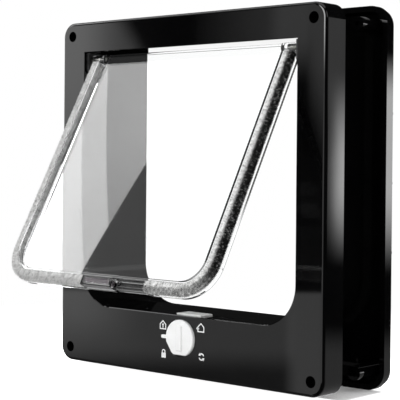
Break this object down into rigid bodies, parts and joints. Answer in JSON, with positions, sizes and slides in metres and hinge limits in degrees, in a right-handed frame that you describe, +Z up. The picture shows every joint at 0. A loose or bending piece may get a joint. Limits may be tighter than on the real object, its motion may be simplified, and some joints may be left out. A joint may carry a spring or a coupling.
{
  "type": "cat flap",
  "caption": "Door cat flap: two rectangular frames with a telescoping tunnel, a clear top-hinged flap with pile seals and a magnet, and a rotary lock dial.",
  "frame": {"origin": "middle of the four screw holes of the interior frame, on the plane where that frame meets the door", "axes": "+X to the right as seen from indoors, +Y outdoors through the door, +Z up"},
  "size_m": [0.246, 0.1565, 0.254],
  "materials": {
    "gloss_black": "polished moulded plastic",
    "clear_plastic": "clear polished moulding",
    "pile": "short dense pile strip",
    "steel": "plain steel",
    "plated_magnet": "bright nickel plate",
    "ferrite": "dull grey magnet",
    "white_plastic": "smooth white moulding",
    "black_plastic": "plain moulded plastic",
    "natural_acetal": "plain natural moulding"
  },
  "bodies": {
    "frame": {"interior_frame": "gloss_black", "hinge_clip_left": "black_plastic", "hinge_clip_right": "black_plastic", "sill_magnet": "plated_magnet", "detent_spring": "steel", "lock_cover": "black_plastic", "cover_screws": "steel"},
    "exterior": {"exterior_frame": "gloss_black"},
    "flap": {"flap_panel": "clear_plastic", "flap_magnet": "ferrite", "flap_magnet_cap": "clear_plastic", "pile_seal_left": "pile", "pile_seal_right": "pile", "hinge_pin_left": "steel", "hinge_pin_right": "steel"},
    "dial": {"dial_knob": "white_plastic", "cam_drum": "natural_acetal", "cam_screw": "steel"},
    "room_latch": {"room_side_latch": "black_plastic"},
    "outdoor_latch": {"outdoor_side_latch": "black_plastic"}
  },
  "joints": [
    {"name": "flap_swing", "type": "hinge", "parent": "frame", "child": "flap", "pos_m": [0, -0.012, 0.0968], "axis": [1, 0, 0], "range_deg": [-51, 109]},
    {"name": "dial_turn", "type": "hinge", "parent": "frame", "child": "dial", "pos_m": [0, -0.02, -0.0973], "axis": [0, 1, 0], "continuous": true},
    {"name": "room_latch_rise", "type": "slide", "parent": "frame", "child": "room_latch", "axis": [0, 0, 1], "range_m": [0, 0.006]},
    {"name": "outdoor_latch_rise", "type": "slide", "parent": "frame", "child": "outdoor_latch", "axis": [0, 0, 1], "range_m": [0, 0.006]},
    {"name": "tunnel_slide", "type": "slide", "parent": "frame", "child": "exterior", "axis": [0, 1, 0], "range_m": [-0.019, 0.006]}
  ]
}
